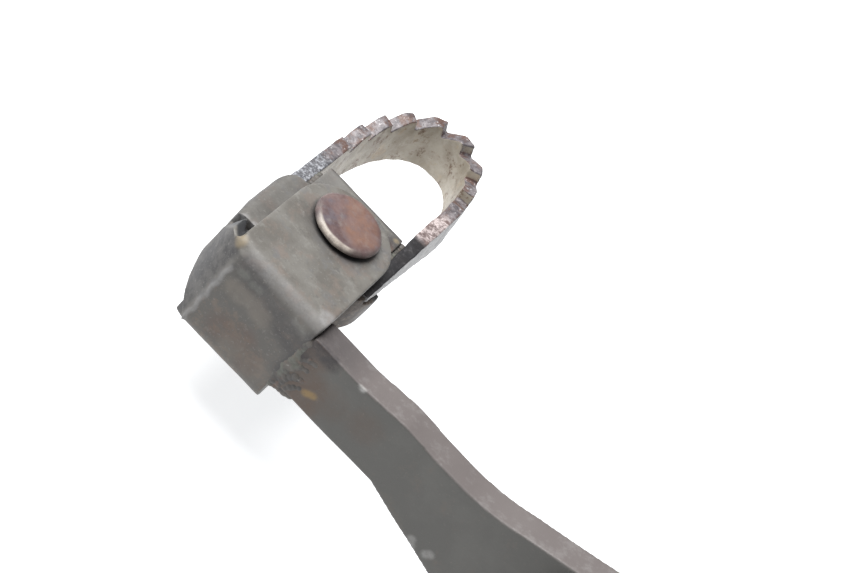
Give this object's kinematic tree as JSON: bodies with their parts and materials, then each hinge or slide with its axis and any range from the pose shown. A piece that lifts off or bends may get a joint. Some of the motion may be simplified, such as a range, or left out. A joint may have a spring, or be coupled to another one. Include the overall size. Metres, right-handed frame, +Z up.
{
  "type": "motorcycle brake pedal lever with folding toe tip",
  "caption": "Plate brake pedal lever with a bushed pivot tube, push rod lever, a folded clevis and a sprung folding toe tip with a serrated foot loop.",
  "frame": {"origin": "centre of the main pivot bore, on the arm's middle plane", "axes": "+X rearwards from the toe tip to the pivot, +Y outboard along the main pivot bore, +Z up along the tip's rivet"},
  "size_m": [0.1662, 0.1088, 0.087],
  "materials": {
    "arm_paint": "worn satin black paint on steel",
    "clevis_paint": "worn satin paint on folded steel sheet",
    "rivet_rust": "rusty steel",
    "band_metal": "bare steel, worn and stained",
    "weld_metal": "rusty weld",
    "zinc_steel": "dull zinc plate",
    "bronze": "sintered bronze",
    "seal_rubber": "matt",
    "spring_steel": "oiled spring wire"
  },
  "bodies": {
    "lever": {"lever_arm": "arm_paint", "pivot_tube": "arm_paint", "tube_weld_outboard": "arm_paint", "tube_weld_inboard": "arm_paint", "bush_outboard": "bronze", "bush_inboard": "bronze", "seal_outboard": "seal_rubber", "seal_inboard": "seal_rubber", "pushrod_lever": "arm_paint", "pushrod_lever_weld": "arm_paint", "spring_tab": "arm_paint", "spring_tab_weld": "arm_paint", "stop_lug": "arm_paint", "stop_lug_weld": "arm_paint", "stop_bolt": "zinc_steel", "stop_locknut": "zinc_steel", "clevis_bracket": "clevis_paint", "clevis_weld": "weld_metal", "pivot_rivet": "rivet_rust", "rivet_washer": "zinc_steel", "thrust_washer_upper": "zinc_steel", "thrust_washer_lower": "zinc_steel", "torsion_spring": "spring_steel"},
    "folding_tip": {"tip_bracket": "clevis_paint", "pivot_sleeve": "zinc_steel", "sleeve_weld": "weld_metal", "serrated_band": "band_metal", "band_weld_left": "weld_metal", "band_weld_right": "weld_metal"}
  },
  "joints": [
    {"name": "tip_fold", "type": "hinge", "parent": "lever", "child": "folding_tip", "pos_m": [-0.13, 0.0244, -0.01125], "axis": [0, 0, 1], "range_deg": [-90, 0], "stiffness_Nm_per_rad": 0.35, "springref_deg": 34.38, "deforming": ["torsion_spring"]}
  ]
}
